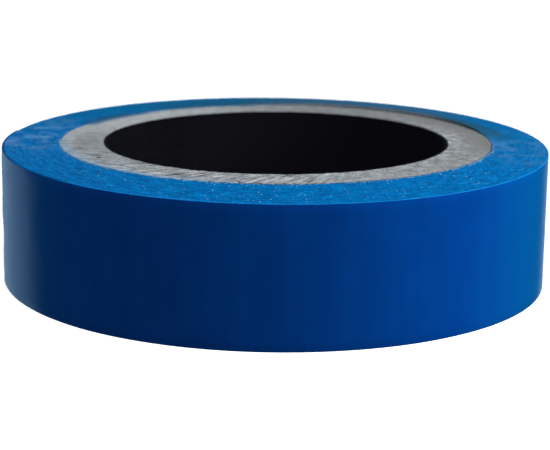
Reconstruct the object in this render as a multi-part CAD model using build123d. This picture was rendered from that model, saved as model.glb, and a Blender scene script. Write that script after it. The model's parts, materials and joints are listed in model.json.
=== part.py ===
from build123d import *

import math
import os

# A roll of PVC electrical tape on a spiral-wound paper core, lying flat.
# Millimetres and degrees. The origin is the centre of the core's lower face, and +Z runs
# up the roll's axis. The tape is wound so that its radius grows clockwise seen from +Z,
# and each turn sits a little higher than the one outside it, up to the core's upper face.

# Driving dimensions of the roll
TAPE_WIDTH = 15.0
ROLL_DIAMETER = 61.0
CORE_DIAMETER = 48.0
BORE_DIAMETER = 38.0
CORE_HEIGHT = 15.5  # its upper face is level with the innermost turn's upper edge

# Paper core: a thin liner, plies of grey board, and a thin outer wrap, glued together
LINER_THICKNESS = 0.30
WRAP_THICKNESS = 0.25
BOARD_PLIES = 8
GLUE_LINE = 0.02
SEAM_WIDTH = 0.30  # the butt seam that each ply's strip leaves between its own turns
SEAM_TWIST = 45.0  # how far a seam winds round the core over the core's height
SEAM_STAGGER = 137.0  # turn from one ply's seam to the next, so that no two lie together
CUT_MARGIN = 0.5  # how far a cutter reaches past what it cuts

# Tape: one strip wound in a spiral of half-turns about two centres
FILM_THICKNESS = 0.13  # film and adhesive together
AIR_GAP = 0.02  # between one turn and the next
PEEL_ANGLE = 255.0  # where the wound part ends and the free end starts

# Free end: a curved strip on the roll, opened at cross lines where it bends as it peels
TAIL_PIECES = 5
TAIL_SWEEP = 86.0
CROSS_LINE_GAP = 0.03  # between the ends of two neighbouring pieces of the strip

roll_radius = ROLL_DIAMETER / 2
core_radius = CORE_DIAMETER / 2
bore_radius = BORE_DIAMETER / 2
face_slope = (CORE_HEIGHT - TAPE_WIDTH) / (roll_radius - core_radius)
core_wall = core_radius - bore_radius
board_thickness = (
    core_wall - LINER_THICKNESS - WRAP_THICKNESS - (BOARD_PLIES + 1) * GLUE_LINE
) / BOARD_PLIES

half_pitch = (FILM_THICKNESS + AIR_GAP) / 2
tail_inner_radius = roll_radius - FILM_THICKNESS
innermost_radius = core_radius + AIR_GAP + half_pitch / 2
half_turns = math.floor((tail_inner_radius - innermost_radius) / half_pitch)
tail_piece_sweep = TAIL_SWEEP / TAIL_PIECES
gap_angle = math.degrees(CROSS_LINE_GAP / roll_radius)


def core_ply(inner_radius, thickness, seam_angle):
    """A tube of paper as tall as the core, slit by its own helical butt seam."""
    outer_radius = inner_radius + thickness
    ring = Circle(outer_radius) - Circle(inner_radius)
    tube = extrude(ring, CORE_HEIGHT)
    slot = Pos(inner_radius + thickness / 2, 0, 0) * Rectangle(
        thickness + 2 * CUT_MARGIN, SEAM_WIDTH
    )
    cutter = Solid.extrude_linear_with_rotation(
        slot.face(), (0, 0, 0), (0, 0, CORE_HEIGHT), SEAM_TWIST
    )
    return tube - Rot(0, 0, seam_angle) * cutter


def core_plies():
    """The plies from the bore outwards, as pairs of name and solid."""
    layers = [("core_liner_ply", LINER_THICKNESS)]
    layers += [
        (f"core_board_ply_{number}", board_thickness)
        for number in range(1, BOARD_PLIES + 1)
    ]
    layers += [("core_wrap_ply", WRAP_THICKNESS)]
    plies = []
    inner_radius = bore_radius
    for index, (name, thickness) in enumerate(layers):
        plies.append((name, core_ply(inner_radius, thickness, index * SEAM_STAGGER)))
        inner_radius += thickness + GLUE_LINE
    return plies


def half_turn(steps_to_peel):
    """Centre, inner radius and start angle of a half-turn, counted back from the peel line.

    Number 0 is the half-turn that the free end lies on. Odd ones end at the peel line,
    and even ones start there.
    """
    side = 1 if steps_to_peel % 2 else -1
    centre = Vector(side * half_pitch / 2, 0, 0).rotate(Axis.Z, PEEL_ANGLE)
    inner_radius = tail_inner_radius - steps_to_peel * half_pitch
    start_angle = PEEL_ANGLE + (180.0 if steps_to_peel % 2 else 0.0)
    return centre, inner_radius, start_angle


def strip(arcs, height=TAPE_WIDTH):
    """A strip of tape standing on its edge, from (centre, inner radius, start, sweep) arcs."""
    inner = [CenterArc(c, r, start, sweep) for c, r, start, sweep in arcs]
    outer = [
        CenterArc(c, r + FILM_THICKNESS, start, sweep) for c, r, start, sweep in arcs
    ]
    start_line = Line(inner[0] @ 0, outer[0] @ 0)
    end_line = Line(inner[-1] @ 1, outer[-1] @ 1)
    outline = Wire([*inner, end_line, *outer, start_line])
    return extrude(Face(outline), height)


def sloping_ring():
    """The space that turns of tape fill when each one sits higher than the one outside it."""
    corners = []
    for radius in (core_radius - CUT_MARGIN, roll_radius + CUT_MARGIN):
        rise = (roll_radius - radius) * face_slope
        corners += [(radius, 0, rise), (radius, 0, rise + TAPE_WIDTH)]
    inner_low, inner_high, outer_low, outer_high = corners
    profile = Polyline(inner_low, outer_low, outer_high, inner_high, close=True)
    return revolve(Face(Wire(profile.edges())), Axis.Z)


def inner_turns():
    """The spiral strip from the core out to the start of the last wound turn."""
    arcs = []
    for steps in range(half_turns, 2, -1):
        centre, inner_radius, start_angle = half_turn(steps)
        arcs.append((centre, inner_radius, start_angle, -180.0))
    tall_strip = strip(arcs, CORE_HEIGHT + 2 * CUT_MARGIN)
    return Pos(0, 0, -CUT_MARGIN) * tall_strip & sloping_ring()


def outer_turn():
    """The last wound turn, from a cross line over the inner turns to the peel line."""
    arcs = []
    for steps, start_gap in ((2, gap_angle), (1, 0.0)):
        centre, inner_radius, start_angle = half_turn(steps)
        arcs.append((centre, inner_radius, start_angle - start_gap, start_gap - 180.0))
    return strip(arcs)


def tail_piece(number):
    """One piece of the free end; number 0 starts at the peel line."""
    centre, inner_radius, peel_angle = half_turn(0)
    start_angle = peel_angle - number * tail_piece_sweep - gap_angle
    return strip([(centre, inner_radius, start_angle, gap_angle - tail_piece_sweep)])


nodes = dict(core_plies())
nodes["tape_inner_turns"] = inner_turns()
nodes["tape_outer_turn"] = outer_turn()
for piece in range(TAIL_PIECES):
    nodes[f"tape_tail_{piece + 1}"] = tail_piece(piece)

os.makedirs("parts", exist_ok=True)
for node_name, solid in nodes.items():
    export_step(solid, f"parts/{node_name}.step")
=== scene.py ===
import json
import math

import bpy
import numpy as np
from mathutils import Matrix, Vector


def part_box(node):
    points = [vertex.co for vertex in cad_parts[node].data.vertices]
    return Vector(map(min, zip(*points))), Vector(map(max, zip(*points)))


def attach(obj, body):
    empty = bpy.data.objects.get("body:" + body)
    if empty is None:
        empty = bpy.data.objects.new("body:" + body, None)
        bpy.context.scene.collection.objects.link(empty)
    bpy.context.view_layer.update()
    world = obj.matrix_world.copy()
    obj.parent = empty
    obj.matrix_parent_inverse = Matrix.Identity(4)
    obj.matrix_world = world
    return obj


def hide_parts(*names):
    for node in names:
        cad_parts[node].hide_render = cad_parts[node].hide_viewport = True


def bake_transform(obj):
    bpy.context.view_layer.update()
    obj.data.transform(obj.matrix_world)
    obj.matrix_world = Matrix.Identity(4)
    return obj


# A roll of blue PVC electrical tape on a thick grey paper core with a black-lined bore.
# Everything is in metres, in the CAD model's frame: +Z runs up the roll's axis and -Y is
# the front. Shapes are lofted round the axis from the CAD model's own radii and heights.
# Angles round the roll are measured from +X towards +Y.

MM = 0.001
TURN = 2 * math.pi

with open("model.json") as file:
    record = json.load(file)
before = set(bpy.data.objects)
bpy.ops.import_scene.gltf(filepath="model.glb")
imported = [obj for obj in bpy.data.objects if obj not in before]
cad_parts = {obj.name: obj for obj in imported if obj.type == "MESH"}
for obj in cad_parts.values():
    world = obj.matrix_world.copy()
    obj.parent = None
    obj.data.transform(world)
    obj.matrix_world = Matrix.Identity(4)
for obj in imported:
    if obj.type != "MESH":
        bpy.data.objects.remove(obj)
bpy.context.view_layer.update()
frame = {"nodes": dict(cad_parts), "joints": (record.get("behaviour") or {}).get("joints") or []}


# ---- Measures read off the CAD model ----


def radii(node):
    """Smallest and largest distance of a CAD node's surface from the roll's axis."""
    points = np.array([v.co for v in frame["nodes"][node].data.vertices])
    distance = np.hypot(points[:, 0], points[:, 1])
    return distance.min(), distance.max()


def angle_of(point):
    return math.atan2(point[1], point[0])


bend_joints = [joint for joint in frame["joints"] if joint["child"].startswith("tail_")]
peel_angle = angle_of(bend_joints[0]["pos_m"])
peel_radius = math.hypot(*bend_joints[0]["pos_m"][:2])

tape_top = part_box("tape_outer_turn")[1].z
face_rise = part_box("tape_inner_turns")[1].z - tape_top
film = radii("tape_tail_1")[1] - radii("tape_tail_1")[0]
core_radius = radii("core_wrap_ply")[1]
first_turn_radius = radii("tape_inner_turns")[0]

# ---- Measures of the surface detail ----

TURNS = 42  # wound turns under the free end
TURN_STATIONS = 500  # cross sections round the wound tape
GROOVE_DEPTH = 0.014 * MM  # between the edges of neighbouring turns
TURN_WANDER = 0.012 * MM  # how far one turn's edge stands above or below the next
RAISED_HEIGHT = 0.32 * MM  # of the turns next to the core, over the core's face
RAISED_ANGLE = math.radians(48)  # where round the roll they stand highest
RAISED_COSINES = (0.68, 0.95)  # of the angle from there: not raised, and fully raised
RAISED_SPREAD = 2.4 * MM  # how far out from the core they are raised
FILM_EDGE_ROUND = 0.045 * MM
CORNER_POINTS = 4  # points round one rounded edge of the film
SIDE_STEPS = 14  # stretches up the film's face
SIDE_WAVE = 0.012 * MM  # unevenness of the roll's side
BULGES = 5  # slow ones, in a radian round the roll
BULGE_HEIGHT = 5 * MM
MOTTLES = 26  # fine ones, in a radian round the roll
MOTTLE_HEIGHT = 1.6 * MM
MOTTLE_SHARE = 0.35  # of SIDE_WAVE
WANDER_DRIFT = 0.13  # how far the wander's noise is read sideways, turn by turn
GROUP_TURNS = 5  # neighbouring turns that also wander together
GROUP_SHARE = 0.5  # of TURN_WANDER
GROUP_ROW = 0.7  # of the noise, along which the groups are read

TAIL_STATIONS = 36  # cross sections in one piece of the free end
PEEL_BEND = 4.5 * MM  # length over which the film turns away from the roll
TAIL_LIFT = 0.20 * MM  # how far the loose free end stands off the roll
TAIL_LOOSE = (math.radians(38), math.radians(80))  # past the peel line: stuck, and loose
TAIL_WAVES = 7  # in a radian round the roll
TAIL_WAVE_HEIGHT = 2.6 * MM

BOARD_PLIES = 8
PLY_STATIONS = 900
PLY_FACE_STEPS = 4  # stretches across the cut edge of one ply
PLY_LEVELS = 9  # points up a ply's rolled face
PLY_WANDER = 0.005 * MM  # how far one ply's cut edge stands above or below the next
PLY_WAVES = 1.5  # of that wander, in a radian round the core
PLY_APART = 3.7  # waves between the noise of one ply and of the next
SEAM_GAP = 0.25 * MM
FIRST_SEAM = math.radians(200)  # angle round the roll where the liner's seam starts
SEAM_STEP = math.radians(137)  # from one ply's seam to the next ply's
SEAM_TURN = math.radians(45)  # how far a seam runs round the core on its way up

CORE_LEAN = math.radians(0.74)  # of the core's sawn face, which isn't cut quite square
LEAN_ANGLE = math.radians(297)  # where round the roll the sawn face stands highest
CORE_SINK = 0.18 * MM  # of the sawn face's middle below the CAD model's level face
SAW_ANGLE = math.radians(32)  # of the saw's marks from the radial direction
SAW_SPACING = 0.46 * MM
SAW_LENGTH = 2.5 * MM
COARSE_SPACING = 2.7 * SAW_SPACING  # of the wider marks between the fine ones
COARSE_LENGTH = SAW_LENGTH / 0.6
COARSE_SHARE = 0.6  # of the fine marks' depth
SAW_DEPTH = 0.042 * MM
SAW_STRONGEST = math.radians(232)  # angle round the roll where the marks are deepest
SAW_COSINES = (0.2, 0.9)  # of the angle from there: faintest, and strongest
SAW_SHARES = (0.3, 1.2)  # of SAW_DEPTH, where faintest and where strongest
FIBRE_DEPTH = 0.020 * MM
FIBRE_SIZE = 0.3 * MM

SHARP_ANGLE = math.radians(50)  # between faces, from which their edge is shaded sharp

pitch = (peel_radius - first_turn_radius - film) / TURNS
saw_radius = core_radius * 0.9  # where the saw marks' spacing and angle hold exactly

# Places of a piece's materials in its own list.
OUTSIDE, CUT_EDGE, INSIDE = range(3)

# Each use of noise has its own table of random values.
SAW_SEED, COARSE_SAW_SEED, FIBRE_SEED, PLY_SEED = 11, 13, 14, 20
BULGE_SEED, MOTTLE_SEED = 31, 32
TURN_SEED, GROUP_SEED = 41, 42
LOOSE_SEED = 51


# ---- Shapes ----


def noise(x, y, seed):
    """Smooth noise from -1 to 1, with about one bump per unit of x and of y."""
    size = 256  # bumps before the pattern repeats
    table = np.random.RandomState(seed).uniform(-1, 1, (size, size))
    x, y = np.broadcast_arrays(np.asarray(x, float), np.asarray(y, float))
    column, row = np.floor(x).astype(int), np.floor(y).astype(int)
    u, v = x - column, y - row
    u, v = u * u * (3 - 2 * u), v * v * (3 - 2 * v)
    low = table[column % size, row % size] * (1 - u)
    low = low + table[(column + 1) % size, row % size] * u
    high = table[column % size, (row + 1) % size] * (1 - u)
    high = high + table[(column + 1) % size, (row + 1) % size] * u
    return low * (1 - v) + high * v


def smooth_step(value, low, high):
    t = np.clip((value - low) / (high - low), 0, 1)
    return t * t * (3 - 2 * t)


def around(radius, angle, height):
    """Points at a distance from the axis, at an angle from +X and at a height."""
    radius, angle, height = np.broadcast_arrays(radius, angle, height)
    return np.stack([radius * np.cos(angle), radius * np.sin(angle), height], axis=-1)


def loft(name, sections, slots, materials, cap_slot, rim=None):
    """A closed skin through sections, an array of stations x loop points x 3, with flat ends.

    slots holds the material number of the face that starts at each loop point, and rim a
    number for each loop point that materials can read.
    """
    stations, loop = sections.shape[:2]
    station = np.arange(stations - 1)[:, None] * loop
    point = np.arange(loop)[None, :]
    following = (point + 1) % loop
    corners = [point, following, loop + following, loop + point]
    quads = np.stack([station + corner for corner in corners], axis=-1).reshape(-1, 4)
    first_cap = list(range(loop))[::-1]
    last_cap = [(stations - 1) * loop + p for p in range(loop)]
    faces = quads.tolist() + [first_cap, last_cap]
    mesh = bpy.data.meshes.new(name)
    mesh.from_pydata(sections.reshape(-1, 3).tolist(), [], faces)
    numbers = np.append(np.tile(slots, stations - 1), [cap_slot, cap_slot])
    mesh.polygons.foreach_set("material_index", numbers.astype(np.int32))
    mesh.polygons.foreach_set("use_smooth", np.ones(len(numbers), bool))
    mesh.update()
    for material in materials:
        mesh.materials.append(material)
    if signed_volume(sections) < 0:
        mesh.flip_normals()
    if rim is not None:
        stored = mesh.attributes.new("rim", "FLOAT", "POINT")
        stored.data.foreach_set("value", np.tile(rim, stations).astype(np.float32))
    mesh.set_sharp_from_angle(angle=SHARP_ANGLE)
    made = bpy.data.objects.new(name, mesh)
    bpy.context.scene.collection.objects.link(made)
    return made


def signed_volume(sections):
    """Positive when the loft's faces, as loft makes them, look outwards."""
    a = sections[:-1]
    b = np.roll(sections, -1, axis=1)[:-1]
    c = np.roll(sections, -1, axis=1)[1:]
    d = sections[1:]
    total = np.einsum("ijk,ijk->", a, np.cross(b, c))
    total += np.einsum("ijk,ijk->", a, np.cross(c, d))
    return total


# ---- Core ----


def face_lean(radius, angle):
    """Height of the core's sawn face over the CAD model's level one."""
    return radius * math.tan(CORE_LEAN) * np.cos(angle - LEAN_ANGLE) - CORE_SINK


def saw_relief(radius, angle):
    """Height of the sawn face: slanted marks across every ply, and torn fibres."""
    twist = math.tan(SAW_ANGLE) * np.log(radius / saw_radius)
    across = (angle + twist) * saw_radius
    along = radius - saw_radius
    marks = noise(across / SAW_SPACING, along / SAW_LENGTH, SAW_SEED)
    coarse = noise(across / COARSE_SPACING, along / COARSE_LENGTH, COARSE_SAW_SEED)
    marks = marks + COARSE_SHARE * coarse
    faintest, strongest = SAW_SHARES
    near = smooth_step(np.cos(angle - SAW_STRONGEST), *SAW_COSINES)
    strength = faintest + (strongest - faintest) * near
    x, y = radius * np.cos(angle), radius * np.sin(angle)
    fibres = noise(x / FIBRE_SIZE, y / FIBRE_SIZE, FIBRE_SEED)
    return marks * strength * SAW_DEPTH / 2 + fibres * FIBRE_DEPTH / 2


def core_ply(node, number, outer, materials):
    """One paper ply with its glue line: a tube as tall as the core, open along its seam."""
    inner = radii(node)[0]
    bottom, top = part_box(node)[0].z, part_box(node)[1].z
    across = np.linspace(inner, outer, PLY_FACE_STEPS + 1)
    up = np.linspace(bottom, top, PLY_LEVELS)[1:-1]
    counts = [len(across), len(up), len(across), len(up)]
    radius = np.concatenate(
        [across, np.full(len(up), outer), across[::-1], np.full(len(up), inner)]
    )
    height = np.concatenate(
        [np.full(len(across), bottom), up, np.full(len(across), top), up[::-1]]
    )
    is_top = np.repeat([False, False, True, False], counts)
    is_sawn = is_top & np.roll(is_top, -1)
    seam_start = FIRST_SEAM + number * SEAM_STEP
    seam = seam_start + SEAM_TURN * (height - bottom) / (top - bottom)
    gap = SEAM_GAP / outer
    turn = np.linspace(gap / 2, TURN - gap / 2, PLY_STATIONS)[:, None]
    angle = seam[None, :] + turn
    radius = np.broadcast_to(radius, angle.shape)
    ply_level = noise(number * PLY_APART, angle * PLY_WAVES, PLY_SEED) * PLY_WANDER
    relief = saw_relief(radius, angle) + ply_level + face_lean(radius, angle)
    height = height + np.where(is_top, relief, 0.0)
    slots = np.where(is_sawn, CUT_EDGE, OUTSIDE)
    name = node.replace("_ply", "_paper")
    ply = loft(name, around(radius, angle, height), slots, materials, cap_slot=OUTSIDE)
    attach(ply, "root")
    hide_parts(node)
    return ply


def core():
    """All the core's plies. Each one's glue line reaches the next ply, or the tape."""
    board, sawn, liner = plain_board(), sawn_board(), black_paper()
    plies = ["core_liner_ply"]
    plies += [f"core_board_ply_{number}" for number in range(1, BOARD_PLIES + 1)]
    plies += ["core_wrap_ply"]
    outers = [radii(node)[0] for node in plies[1:]] + [first_turn_radius]
    for number, (node, outer) in enumerate(zip(plies, outers)):
        is_liner = number == 0
        materials = [liner, liner] if is_liner else [board, sawn]
        ply = core_ply(node, number, outer, materials)


# ---- Tape ----


def film_side(radius, round_by, inward=1):
    """Points up one face of a film's edge-on section, with its two corners rounded off."""
    quarter = np.radians(np.linspace(0, 90, CORNER_POINTS))
    corner_r = radius - inward * round_by * (1 - np.sin(quarter))
    low_z = round_by * (1 - np.cos(quarter))
    middle = np.linspace(round_by, tape_top - round_by, SIDE_STEPS + 1)[1:-1]
    high_z = tape_top - round_by * (1 - np.cos(quarter[::-1]))
    return (
        np.concatenate([corner_r, np.full(len(middle), radius), corner_r[::-1]]),
        np.concatenate([low_z, middle, high_z]),
    )


def side_wave(angle, height):
    """Unevenness of the outermost turn: slow bulges round the roll and fine mottling."""
    slow = noise(angle * BULGES, height / BULGE_HEIGHT, BULGE_SEED)
    fine = noise(angle * MOTTLES, height / MOTTLE_HEIGHT, MOTTLE_SEED)
    return SIDE_WAVE * (slow + MOTTLE_SHARE * fine)


def turn_edge_height(radius, angle, strip_turn, is_groove):
    """The wound tape's two faces over the outermost turn's own edges: bottom and top.

    The faces are cones that meet the core's leaning face. strip_turn is the number of
    turns between the core and a point of the strip.
    """
    slope = (face_rise + face_lean(core_radius, angle)) / (peel_radius - core_radius)
    rise = (peel_radius - radius) * slope
    single = noise(strip_turn, strip_turn * WANDER_DRIFT, TURN_SEED)
    group = noise(strip_turn / GROUP_TURNS, GROUP_ROW, GROUP_SEED)
    wander = TURN_WANDER * (single + GROUP_SHARE * group)
    groove = np.where(is_groove, GROOVE_DEPTH, 0.0)
    raised = smooth_step(np.cos(angle - RAISED_ANGLE), *RAISED_COSINES)
    raised = raised * (1 - smooth_step(radius - core_radius, 0.0, RAISED_SPREAD))
    return rise + wander + groove, rise + wander - groove + RAISED_HEIGHT * raised


def wound_tape(materials):
    """All the wound turns as one spiral skin: both faces show every turn's own edge."""
    unwound = np.linspace(0, TURN, TURN_STATIONS)[:, None]
    angle = peel_angle - unwound
    outermost = first_turn_radius + TURNS * pitch + film - pitch
    side_r, side_z = film_side(outermost, FILM_EDGE_ROUND)
    turns_in = np.arange(2 * TURNS)[::-1] / 2
    face_r = first_turn_radius + turns_in * pitch
    ends, count = len(side_r), len(face_r)
    part = np.repeat(["side", "top", "bottom"], [ends, count, count])
    turn_number = np.floor(turns_in)
    is_groove = turns_in == turn_number
    turn_number = np.concatenate([np.zeros(ends), turn_number, turn_number[::-1]])
    is_groove = np.concatenate([np.zeros(ends, bool), is_groove, is_groove[::-1]])
    radius = np.concatenate([side_r, face_r, face_r[::-1]])
    radius = radius[None, :] + pitch * unwound / TURN
    strip_turn = turn_number[None, :] + unwound / TURN
    bottom, top = turn_edge_height(radius, angle, strip_turn, is_groove)
    side = np.concatenate([side_z, np.zeros(2 * count)])[None, :]
    height = np.where(part == "side", side, np.where(part == "top", tape_top + top, bottom))
    bulge = np.where(part == "side", side_wave(angle, height), 0.0)
    slots = np.where(part == "side", OUTSIDE, CUT_EDGE)
    slots[: CORNER_POINTS - 1] = CUT_EDGE
    slots[ends - CORNER_POINTS : ends] = CUT_EDGE
    slots[ends + count - 1] = INSIDE
    rim = np.zeros(len(part))
    rim[: CORNER_POINTS - 2] = 1.0
    rim[ends - CORNER_POINTS + 1 : ends + 1] = 1.0
    sections = around(radius + bulge, angle, height)
    tape = loft("wound_tape", sections, slots, materials, cap_slot=CUT_EDGE, rim=rim)
    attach(tape, "root")
    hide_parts("tape_inner_turns", "tape_outer_turn")


def tail_radius(unwound, height):
    """Outer radius of the free end: it follows the spiral and lifts a little near its end."""
    angle = peel_angle - unwound
    loose = smooth_step(unwound, *TAIL_LOOSE)
    waves = 0.5 + 0.5 * noise(unwound * TAIL_WAVES, height / TAIL_WAVE_HEIGHT, LOOSE_SEED)
    wave = side_wave(angle, height) * (1 - loose)
    return peel_radius + pitch * unwound / TURN + wave + loose * waves * TAIL_LIFT


def tail_piece(number, start, end, materials):
    """One stretch of the free end, from one angle past the peel line to another."""
    unwound = np.linspace(start, end, TAIL_STATIONS)[:, None]
    outer_r, outer_z = film_side(0.0, FILM_EDGE_ROUND)
    inner_r, inner_z = film_side(-film, FILM_EDGE_ROUND / 2, inward=-1)
    depth = np.concatenate([outer_r, inner_r[::-1]])[None, :]
    height = np.concatenate([outer_z, inner_z[::-1]])[None, :]
    radius = tail_radius(unwound, height) + depth
    ends = len(outer_r)
    slots = np.repeat([OUTSIDE, INSIDE], [ends, len(inner_r)])
    slots[: CORNER_POINTS - 1] = CUT_EDGE
    slots[ends - CORNER_POINTS : ends] = CUT_EDGE
    rim = np.zeros(len(slots))
    rim[:CORNER_POINTS] = 1.0
    rim[ends - CORNER_POINTS : ends] = 1.0
    name = f"tape_free_end_{number}"
    sections = around(radius, peel_angle - unwound, height)
    piece = loft(name, sections, slots, materials, cap_slot=CUT_EDGE, rim=rim)
    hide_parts(f"tape_tail_{number}")
    return piece


def free_end(materials):
    """The free end in five stretches, cut halfway between the CAD model's hinges."""
    hinges = [(peel_angle - angle_of(joint["pos_m"])) % TURN for joint in bend_joints]
    step = hinges[1] - hinges[0]
    middles = [angle + step / 2 for angle in hinges]
    cuts = [0.0] + middles[:-1] + [hinges[-1] + step]
    bent = [PEEL_BEND / peel_radius] + middles[1:]
    mid_height = tape_top / 2
    for number, joint in enumerate(bend_joints):
        piece = tail_piece(number + 1, cuts[number], cuts[number + 1], materials)
        around(peel_radius, peel_angle - cuts[number], mid_height)
        around(peel_radius, peel_angle - bent[number], mid_height)
        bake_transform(piece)


def tape():
    """The whole strip: its wound turns and its free end, which share the film's outside."""
    film_face, edges = blue_film(), blue_edges()
    wound_tape([film_face, edges, sunk_wall()])
    free_end([film_face, edges, adhesive()])


# ---- Materials ----

# The Mix node's colour sockets go by number: its number and vector sockets have the same names.
MIX_FACTOR, MIX_FIRST, MIX_SECOND, MIX_RESULT = 0, 6, 7, 2


class Nodes:
    """A node tree: feeds each input with a value or with another node's output."""

    def __init__(self, tree):
        self.tree = tree

    def node(self, kind, inputs=None, **settings):
        made = self.tree.nodes.new(kind)
        for key, value in settings.items():
            setattr(made, key, value)
        for key, value in (inputs or {}).items():
            self.feed(made.inputs[key], value)
        return made

    def feed(self, socket, value):
        if isinstance(value, bpy.types.NodeSocket):
            self.tree.links.new(value, socket)
        else:
            socket.default_value = value

    def vector_maths(self, operation, *values):
        inputs = dict(enumerate(values))
        return self.node("ShaderNodeVectorMath", inputs, operation=operation).outputs

    def fit(self, value, low, high, to_low, to_high, curve="LINEAR"):
        """The value's place between low and high, carried over to between to_low and to_high."""
        inputs = {
            "Value": value,
            "From Min": low,
            "From Max": high,
            "To Min": to_low,
            "To Max": to_high,
        }
        made = self.node("ShaderNodeMapRange", inputs, interpolation_type=curve)
        return made.outputs["Result"]


class Paint(Nodes):
    """A node-based material on the Principled BSDF, placed in the roll's own frame."""

    def __init__(self, name):
        self.material = bpy.data.materials.new(name)
        self.material.use_nodes = True
        super().__init__(self.material.node_tree)
        self.surface = self.tree.nodes["Principled BSDF"]
        self.place = self.node("ShaderNodeTexCoord").outputs["Object"]
        self.x, self.y, self.height = self.parts(self.place)
        self.angle = self.maths("ARCTAN2", self.y, self.x)
        self.flat = self.vector_maths("MULTIPLY", self.place, (1, 1, 0))["Vector"]
        self.radius = self.vector_maths("LENGTH", self.flat)["Value"]
        self.from_core = self.maths("SUBTRACT", self.radius, core_radius)

    def finish(self, **inputs):
        for key, value in inputs.items():
            self.feed(self.surface.inputs[key.replace("_", " ")], value)
        return self.material

    def parts(self, vector):
        outputs = self.node("ShaderNodeSeparateXYZ", {"Vector": vector}).outputs
        return outputs["X"], outputs["Y"], outputs["Z"]

    def vector(self, x, y, z):
        return self.node("ShaderNodeCombineXYZ", {"X": x, "Y": y, "Z": z}).outputs[0]

    def maths(self, operation, first, second):
        inputs = {0: first, 1: second}
        return self.node("ShaderNodeMath", inputs, operation=operation).outputs[0]

    def times(self, first, *others):
        for other in others:
            first = self.maths("MULTIPLY", first, other)
        return first

    def plus(self, first, *others):
        for other in others:
            first = self.maths("ADD", first, other)
        return first

    def noise(self, feature, detail=3.0):
        """Noise from 0 to 1 whose bumps are about feature metres across."""
        inputs = {"Vector": self.place, "Scale": 1.0 / feature, "Detail": detail}
        return self.node("ShaderNodeTexNoise", inputs).outputs["Fac"]

    def noise_at(self, x, y, z, detail):
        """Noise from 0 to 1 with about one bump per unit of x, of y and of z."""
        inputs = {"Vector": self.vector(x, y, z), "Scale": 1.0, "Detail": detail}
        return self.node("ShaderNodeTexNoise", inputs).outputs["Fac"]

    def ramp(self, value, first, *others):
        """A colour for a value, through stops of (position, colour)."""
        made = self.node("ShaderNodeValToRGB", {"Fac": value})
        elements = made.color_ramp.elements
        elements.remove(elements[0])
        elements[0].position = first[0]
        elements[0].color = (*first[1], 1.0)
        for position, colour in others:
            elements.new(position).color = (*colour, 1.0)
        return made.outputs["Color"]

    def mix(self, factor, first, second, blend_type="MIX"):
        made = self.node("ShaderNodeMix", data_type="RGBA", blend_type=blend_type)
        self.feed(made.inputs[MIX_FACTOR], factor)
        self.feed(made.inputs[MIX_FIRST], first)
        self.feed(made.inputs[MIX_SECOND], second)
        return made.outputs[MIX_RESULT]

    def over(self, colour, tint, *weights):
        """The colour with a tint laid over it, as strongly as its weights' product."""
        return self.mix(self.times(*weights), colour, (*tint, 1.0))

    def bump(self, height, distance, strength):
        inputs = {"Height": height, "Distance": distance, "Strength": strength}
        return self.node("ShaderNodeBump", inputs).outputs["Normal"]

    def sector(self, centre, half_width, full=1):
        """1 round the angle centre, falling to 0 at half_width from it, both in degrees.

        full is the value that already counts as 1, which gives the sector a flat top.
        """
        turn = math.radians(centre)
        unit = self.vector_maths("NORMALIZE", self.flat)["Vector"]
        pointing = (math.cos(turn), math.sin(turn), 0)
        dot = self.vector_maths("DOT_PRODUCT", unit, pointing)["Value"]
        near = self.fit(dot, math.cos(math.radians(half_width)), 1, 0, 1)
        return near if full == 1 else self.fit(near, 0, full, 0, 1)


def blue_film():
    """The film's outer face: satin PVC, smooth, with a painted sheen that makes it greener where
    it's seen edge on.
    """
    paint = Paint("blue_pvc_film")
    streaks = paint.noise_at(
        paint.times(paint.angle, 16.0),
        paint.maths("DIVIDE", paint.height, 30 * MM),
        2.0,
        detail=3.0,
    )
    mottle = paint.times(paint.plus(paint.noise(3.5 * MM, detail=6.0), streaks), 0.5)
    colour = paint.ramp(mottle, (0.35, (0.0, 0.071, 0.410)), (0.65, (0.0, 0.086, 0.475)))
    # Painted sheen: a paler, greener blue where the face is seen edge on, in place of the
    # surroundings' reflection.
    facing = paint.node("ShaderNodeLayerWeight", {"Blend": 0.5}).outputs["Facing"]
    painted_edge_sheen = paint.fit(facing, 0.32, 0.82, 0.0, 1.0)
    return paint.finish(
        Base_Color=paint.over(colour, (0.0, 0.150, 0.470), painted_edge_sheen),
        Roughness=paint.fit(paint.noise(1.2 * MM), 0.3, 0.7, 0.17, 0.23),
        Normal=paint.bump(paint.noise(5.0 * MM, detail=1.0), 0.05 * MM, 0.5),
        Specular_IOR_Level=0.45,
        Specular_Tint=(0.35, 0.75, 1.0, 1.0),
    )


def turn_stripes(paint, grain):
    """The blue of the turns' edges: fine dashes along the turns, grain and slow blotches."""
    dashes = paint.noise_at(
        paint.maths("DIVIDE", paint.radius, 0.20 * MM),
        paint.times(paint.angle, 14.0),
        0.0,
        detail=2.0,
    )
    mixed = paint.maths("DIVIDE", paint.plus(paint.times(dashes, 1.3), grain), 2.3)
    colour = paint.ramp(
        mixed,
        (0.37, (0.0, 0.070, 0.235)),
        (0.50, (0.0, 0.120, 0.362)),
        (0.62, (0.0, 0.185, 0.505)),
    )
    blotches = paint.noise_at(
        paint.maths("DIVIDE", paint.radius, 1.1 * MM),
        paint.times(paint.angle, 9.0),
        4.0,
        detail=3.0,
    )
    return paint.mix(1.0, colour, paint.fit(blotches, 0.3, 0.7, 0.88, 1.12), "MULTIPLY")


def pale_haze(paint, colour):
    """Pale patches at the left of the roll, and fainter at its right."""
    patches = paint.fit(paint.noise(2.2 * MM, detail=6.0), 0.47, 0.70, 0.0, 0.8)
    places = paint.plus(paint.sector(175, 27), paint.times(paint.sector(355, 24), 0.45))
    return paint.over(colour, (0.12, 0.28, 0.50), patches, places, 0.9)


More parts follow.
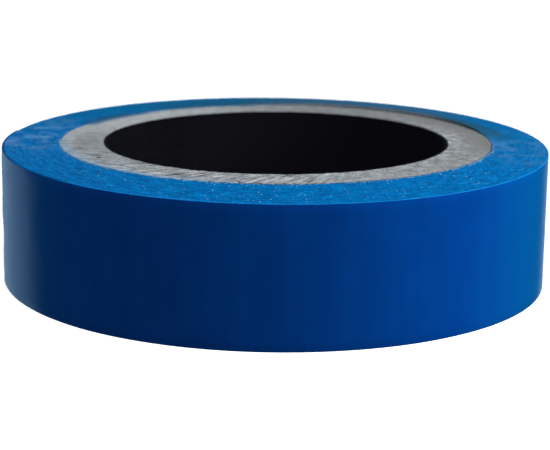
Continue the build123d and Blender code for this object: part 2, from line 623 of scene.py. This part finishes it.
def paper_fringe(paint, colour, grain):
    """Paper fibres from the core's sawn face, caught on the first turns at the front."""
    reach = paint.fit(paint.noise(0.30 * MM), 0.42, 0.70, 0.0, 0.8 * MM)
    to_right = paint.fit(paint.x, -core_radius, core_radius, 0.65, 1.1)
    past_reach = paint.maths("SUBTRACT", paint.from_core, paint.times(reach, to_right))
    fringe = paint.fit(past_reach, -0.12 * MM, 0.0, 1.0, 0.0)
    fibre = paint.ramp(grain, (0.42, (0.07, 0.22, 0.38)), (0.6, (0.26, 0.39, 0.48)))
    weight = paint.times(fringe, paint.sector(262, 108, full=0.35), 0.8)
    return paint.mix(weight, colour, fibre)


def back_shade_and_grey(paint, colour):
    """The upper face from the right round the back: painted shade in three dark zones, and one
    grey zone.
    """
    upper = paint.fit(paint.height, 7 * MM, 8 * MM, 0.0, 1.0)
    # Painted shade: three dark bands out from the core, at the right, the back and the back
    # left.
    for centre, half_width, near, far, depth in (
        (28, 28, 2.2 * MM, 3.6 * MM, 0.88),
        (104, 27, 2.0 * MM, 6.5 * MM, 0.62),
        (145, 16, 0.7 * MM, 1.7 * MM, 0.75),
    ):
        painted_shade = paint.fit(paint.from_core, near, far, depth, 0.0)
        place = paint.sector(centre, half_width)
        colour = paint.over(colour, (0.012, 0.066, 0.105), painted_shade, place, upper)
    grey = paint.ramp(
        paint.fit(paint.from_core, 0.6 * MM, 2.2 * MM, 0.0, 1.0),
        (0.0, (0.135, 0.152, 0.168)),
        (1.0, (0.048, 0.072, 0.080)),
    )
    greyed = paint.fit(paint.from_core, 1.8 * MM, 3.5 * MM, 0.96, 0.40)
    worn = paint.fit(paint.noise(1.0 * MM, detail=6.0), 0.38, 0.62, 0.62, 1.1)
    greyed = paint.times(greyed, paint.sector(67, 34, full=0.9), worn, upper)
    return paint.mix(greyed, colour, grey)


def blue_edges():
    """The cut edges of the turns: paler than the film's face and grainy, with painted shade in
    places and a painted highlight along the rim.
    """
    paint = Paint("blue_cut_edges")
    grain = paint.noise(0.30 * MM, detail=4.0)
    colour = turn_stripes(paint, grain)
    # Painted shade: a darker, greener blue towards the back and at the right.
    painted_shade_back = paint.fit(paint.y, 2 * MM, 26 * MM, 0.0, 0.75)
    painted_shade_right = paint.times(paint.sector(0, 30), 0.25)
    colour = paint.over(colour, (0.0, 0.100, 0.220), paint.plus(painted_shade_back, painted_shade_right))
    colour = pale_haze(paint, colour)
    colour = paper_fringe(paint, colour, grain)
    colour = back_shade_and_grey(paint, colour)
    # Painted highlight: a bright line along the film's rounded rim, where light catches the
    # edge, darker at the left.
    rim = paint.node("ShaderNodeAttribute", attribute_name="rim").outputs["Fac"]
    painted_rim_highlight = (0.01, 0.25, 0.78, 1.0)
    rim_highlight_colour = paint.over(painted_rim_highlight, (0.0, 0.045, 0.240), paint.sector(195, 36, full=0.5))
    colour = paint.mix(paint.times(rim, 0.75), colour, rim_highlight_colour)
    glints = paint.fit(paint.noise(0.19 * MM, detail=1.0), 0.745, 0.765, 0.0, 1.0)
    at_front = paint.fit(paint.sector(262, 75), 0, 0.5, 0.15, 1)
    return paint.finish(
        Base_Color=paint.over(colour, (0.60, 0.92, 1.0), glints, at_front),
        Roughness=0.6,
        Normal=paint.bump(grain, 0.03 * MM, 0.8),
        Specular_IOR_Level=0.02,
        Specular_Tint=(0.2, 0.65, 1.0, 1.0),
    )


def sunk_wall():
    """The inside of the innermost turn, where it stands over the core: a dull grey that stands
    for the wall in shade, darker towards the right.
    """
    paint = Paint("dull_inner_turn")
    # Painted shade: grey in place of the adhesive's blue, as the wall looks in shade.
    colour = paint.ramp(
        paint.noise(0.4 * MM), (0.3, (0.215, 0.260, 0.300)), (0.7, (0.340, 0.390, 0.430))
    )
    colour = paint.over(colour, (0.070, 0.110, 0.140), paint.sector(14, 26))
    return paint.finish(Base_Color=colour, Roughness=0.8, Specular_IOR_Level=0.02)


def adhesive():
    """The inner face of the film: its coat of adhesive, darker and unevenly glossy."""
    paint = Paint("blue_adhesive_side")
    blotch = paint.noise(1.4 * MM, detail=4.0)
    return paint.finish(
        Base_Color=paint.ramp(
            blotch, (0.3, (0.0, 0.050, 0.240)), (0.7, (0.003, 0.080, 0.330))
        ),
        Roughness=paint.fit(blotch, 0.3, 0.7, 0.30, 0.62),
        Normal=paint.bump(paint.noise(0.25 * MM), 0.02 * MM, 0.6),
    )


def sawn_grey(paint, grain, clumps):
    """The grey of the sawn board: slanted streaks, grain, clumps, brown fibres and pits."""
    twist = paint.maths("LOGARITHM", paint.maths("DIVIDE", paint.radius, saw_radius), math.e)
    across = paint.plus(paint.angle, paint.times(twist, math.tan(SAW_ANGLE)))
    streaks = paint.noise_at(
        paint.times(across, saw_radius / (0.50 * MM)),
        paint.maths("DIVIDE", paint.radius, 2.6 * MM),
        0.0,
        detail=4.0,
    )
    streaks = paint.maths("SUBTRACT", streaks, 0.5)
    streaks = paint.times(streaks, paint.fit(paint.sector(232, 62), 0.0, 0.6, 0.3, 1.3))
    mottled = paint.fit(paint.sector(5, 60), 0.0, 1.0, 0.4, 0.8)
    # Clumps raise the tone, so it is lowered where they are strong.
    levelled = paint.fit(mottled, 0.4, 0.8, 0.0, -0.2)
    tone = paint.plus(streaks, paint.times(grain, 0.6), paint.times(clumps, mottled), levelled)
    colour = paint.ramp(
        tone,
        (0.28, (0.080, 0.081, 0.078)),
        (0.42, (0.196, 0.216, 0.228)),
        (0.53, (0.285, 0.322, 0.348)),
        (0.70, (0.500, 0.540, 0.570)),
    )
    brown = paint.fit(paint.noise(0.45 * MM, detail=4.0), 0.54, 0.68, 0.0, 0.55)
    colour = paint.over(colour, (0.240, 0.195, 0.165), brown)
    pits = paint.fit(paint.noise(0.32 * MM, detail=2.0), 0.36, 0.29, 0.0, 0.85)
    return paint.over(colour, (0.020, 0.022, 0.025), pits)


def board_zones(paint, colour, clumps):
    """Parts of the sawn face that are paler, duller or stained, each in its own sector, and a
    painted sheen at the back left.
    """
    pale_rim = paint.fit(paint.from_core, -0.7 * MM, 0.0, 0.0, 0.5)
    in_clumps = paint.fit(clumps, 0.4, 0.6, 0.0, 1.4)
    pale_rim = paint.times(pale_rim, paint.sector(200, 110), in_clumps)
    colour = paint.over(colour, (0.34, 0.42, 0.47), pale_rim)
    # Painted sheen: paler grey at the back left, where the sawn face catches the light.
    colour = paint.over(colour, (0.44, 0.47, 0.48), paint.sector(142, 42), 0.50)
    dull_left = paint.fit(paint.from_core, -1.6 * MM, -0.8 * MM, 0.45, 0.0)
    colour = paint.over(colour, (0.150, 0.170, 0.185), dull_left, paint.sector(190, 32))
    colour = paint.over(colour, (0.150, 0.155, 0.160), paint.sector(58, 50), 0.6)
    dull_right = paint.fit(paint.from_core, -4.2 * MM, -2.4 * MM, 0.0, 0.45)
    colour = paint.over(colour, (0.180, 0.185, 0.180), dull_right, paint.sector(350, 60))
    stain = paint.fit(paint.from_core, -3.4 * MM, -0.8 * MM, 0.0, 0.75)
    in_clumps = paint.fit(clumps, 0.40, 0.60, 0.1, 1.0)
    stain = paint.times(stain, paint.sector(15, 34, full=0.6), in_clumps)
    return paint.over(colour, (0.120, 0.118, 0.115), stain)


def blue_smears_and_shade(paint, colour):
    """Blue on the edge of the sawn face in three places: painted shade of the gap to the tape at
    the back and back left, and blue rubbed off from the tape at the front left.
    """
    # The first two rows are painted shade, a dark blue line along the gap to the tape; the last
    # is rubbed-off blue.
    for centre, half_width, depth, tint in (
        (145, 15, 0.90, (0.015, 0.105, 0.205)),
        (120, 26, 0.38, (0.040, 0.150, 0.260)),
        (225, 45, 0.35, (0.160, 0.340, 0.520)),
    ):
        smear = paint.fit(paint.from_core, -1.4 * MM, -0.45 * MM, 0.0, depth)
        colour = paint.over(colour, tint, smear, paint.sector(centre, half_width, full=0.5))
    return colour


def sawn_board():
    """The sawn ends of the core's plies."""
    paint = Paint("sawn_grey_board")
    grain = paint.noise(0.15 * MM, detail=4.0)
    clumps = paint.noise(1.1 * MM)
    colour = sawn_grey(paint, grain, clumps)
    colour = board_zones(paint, colour, clumps)
    return paint.finish(
        Base_Color=blue_smears_and_shade(paint, colour),
        Roughness=0.85,
        Normal=paint.bump(grain, 0.06 * MM, 0.8),
        Specular_IOR_Level=0.1,
    )


def plain_board():
    """The rolled faces of the board plies and the outer wrap."""
    paint = Paint("plain_grey_board")
    fibres = paint.noise(0.5 * MM, detail=5.0)
    return paint.finish(
        Base_Color=paint.ramp(fibres, (0.3, (0.16, 0.165, 0.165)), (0.7, (0.25, 0.26, 0.265))),
        Roughness=0.9,
        Normal=paint.bump(fibres, 0.03 * MM, 0.6),
    )


def black_paper():
    """The liner of the bore: black paper, fibrous, with painted light on the bore's wall at the
    right.
    """
    paint = Paint("black_liner_paper")
    fibres = paint.noise(0.6 * MM, detail=5.0)
    colour = paint.ramp(
        fibres, (0.3, (0.0027, 0.0030, 0.0050)), (0.7, (0.0049, 0.0053, 0.0082))
    )
    normal = paint.node("ShaderNodeNewGeometry").outputs["Normal"]
    wall = paint.fit(paint.parts(normal)[2], 0.1, 0.6, 1.0, 0.0)
    # Painted light: the wall at the right made paler, where the lamps light it less than the
    # left wall.
    painted_light_right = paint.sector(20, 110, full=0.7)
    return paint.finish(
        Base_Color=paint.over(colour, (0.013, 0.012, 0.019), wall, painted_light_right),
        Roughness=0.8,
        Normal=paint.bump(fibres, 0.02 * MM, 0.5),
        Specular_IOR_Level=0.04,
    )


# ---- Studio ----


def area_light(name, azimuth, elevation, distance, size, power):
    """A square soft light aimed at the roll, at an azimuth from +X and an elevation."""
    data = bpy.data.lights.new(name, "AREA")
    data.shape = "SQUARE"
    data.size = size
    data.energy = power
    light = bpy.data.objects.new(name, data)
    turn, lift = math.radians(azimuth), math.radians(elevation)
    direction = Vector(
        (math.cos(turn) * math.cos(lift), math.sin(turn) * math.cos(lift), math.sin(lift))
    )
    target = Vector((0, 0, tape_top / 2))
    light.location = target + direction * distance
    light.rotation_mode = "QUATERNION"
    light.rotation_quaternion = direction.to_track_quat("Z", "Y")
    bpy.context.scene.collection.objects.link(light)


def floor():
    """A plain pale floor that takes a soft shadow and throws no light back on the roll."""
    half = 3.0
    mesh = bpy.data.meshes.new("floor")
    corners = [(-half, -half, 0), (half, -half, 0), (half, half, 0), (-half, half, 0)]
    mesh.from_pydata(corners, [], [(0, 1, 2, 3)])
    made = bpy.data.objects.new("floor", mesh)
    bpy.context.scene.collection.objects.link(made)
    paint = Paint("pale_floor")
    mesh.materials.append(
        paint.finish(
            Base_Color=paint.ramp(
                paint.noise(0.4), (0.3, (0.86, 0.86, 0.86)), (0.7, (0.9, 0.9, 0.9))
            ),
            Roughness=0.9,
            Specular_IOR_Level=0.0,
            Emission_Color=(1, 1, 1, 1),
            Emission_Strength=paint.fit(paint.radius, 0.06, 0.30, 0.90, 1.0),
        )
    )
    made.visible_diffuse = False
    made.visible_glossy = False


def studio_world():
    """White behind the roll, a dim even fill on it, and a card for its reflections.

    The card has soft edges and stands low behind the roll, a little to its left.
    """
    world = bpy.data.worlds.new("studio")
    bpy.context.scene.world = world
    world.use_nodes = True
    world.node_tree.nodes.clear()
    nodes = Nodes(world.node_tree)

    def background(strength, colour=(1, 1, 1)):
        inputs = {"Strength": strength, "Color": (*colour, 1)}
        return nodes.node("ShaderNodeBackground", inputs).outputs[0]

    def choose(factor, first, second):
        inputs = {0: factor, 1: first, 2: second}
        return nodes.node("ShaderNodeMixShader", inputs).outputs[0]

    card_turn, card_drop = math.radians(107), 0.23
    card_edge, card_core = math.radians(48), math.radians(34)
    card_direction = Vector((math.cos(card_turn), math.sin(card_turn), -card_drop)).normalized()
    direction = nodes.node("ShaderNodeTexCoord").outputs["Generated"]
    card = nodes.fit(
        nodes.vector_maths("DOT_PRODUCT", direction, card_direction)["Value"],
        math.cos(card_edge),
        math.cos(card_core),
        0.008,
        0.60,
        curve="SMOOTHSTEP",
    )
    paths = nodes.node("ShaderNodeLightPath").outputs
    reflected = background(card, (0.42, 0.67, 1.00))
    lit = choose(paths["Is Glossy Ray"], background(0.13), reflected)
    seen = choose(paths["Is Camera Ray"], lit, background(1.0))
    nodes.node("ShaderNodeOutputWorld", {"Surface": seen})
    world.cycles.sampling_method = "NONE"


def camera():
    """A long lens a little above the roll's upper face, close enough for strong perspective."""
    distance = 209.6 * MM
    pitch_down = math.radians(13.73)
    roll = math.radians(0.76)
    target = Vector((0.01 * MM, 0.0, 5.498 * MM))
    data = bpy.data.cameras.new("camera")
    data.sensor_width = 36.0
    data.lens = 120.65
    data.clip_start = 0.01
    data.clip_end = 10.0
    made = bpy.data.objects.new("camera", data)
    back = Vector((0, -math.cos(pitch_down), math.sin(pitch_down)))
    made.location = target + back * distance
    look = back.to_track_quat("Z", "Y").to_matrix()
    made.rotation_mode = "QUATERNION"
    made.rotation_quaternion = (look @ Matrix.Rotation(roll, 3, "Z")).to_quaternion()
    bpy.context.scene.collection.objects.link(made)
    bpy.context.scene.camera = made
    sharp = bpy.data.objects.new("focus_point", None)
    sharp.location = (0, -core_radius, tape_top)
    bpy.context.scene.collection.objects.link(sharp)
    data.dof.use_dof = True
    data.dof.focus_object = sharp
    data.dof.aperture_fstop = 72.0


# ---- Assembly ----

core()
tape()
floor()
studio_world()
area_light("key_right", azimuth=353, elevation=36, distance=0.45, size=0.34, power=2.5)
area_light("top_soft", azimuth=250, elevation=79, distance=0.5, size=0.30, power=1.1)
camera()
bpy.context.scene.view_settings.view_transform = "Standard"
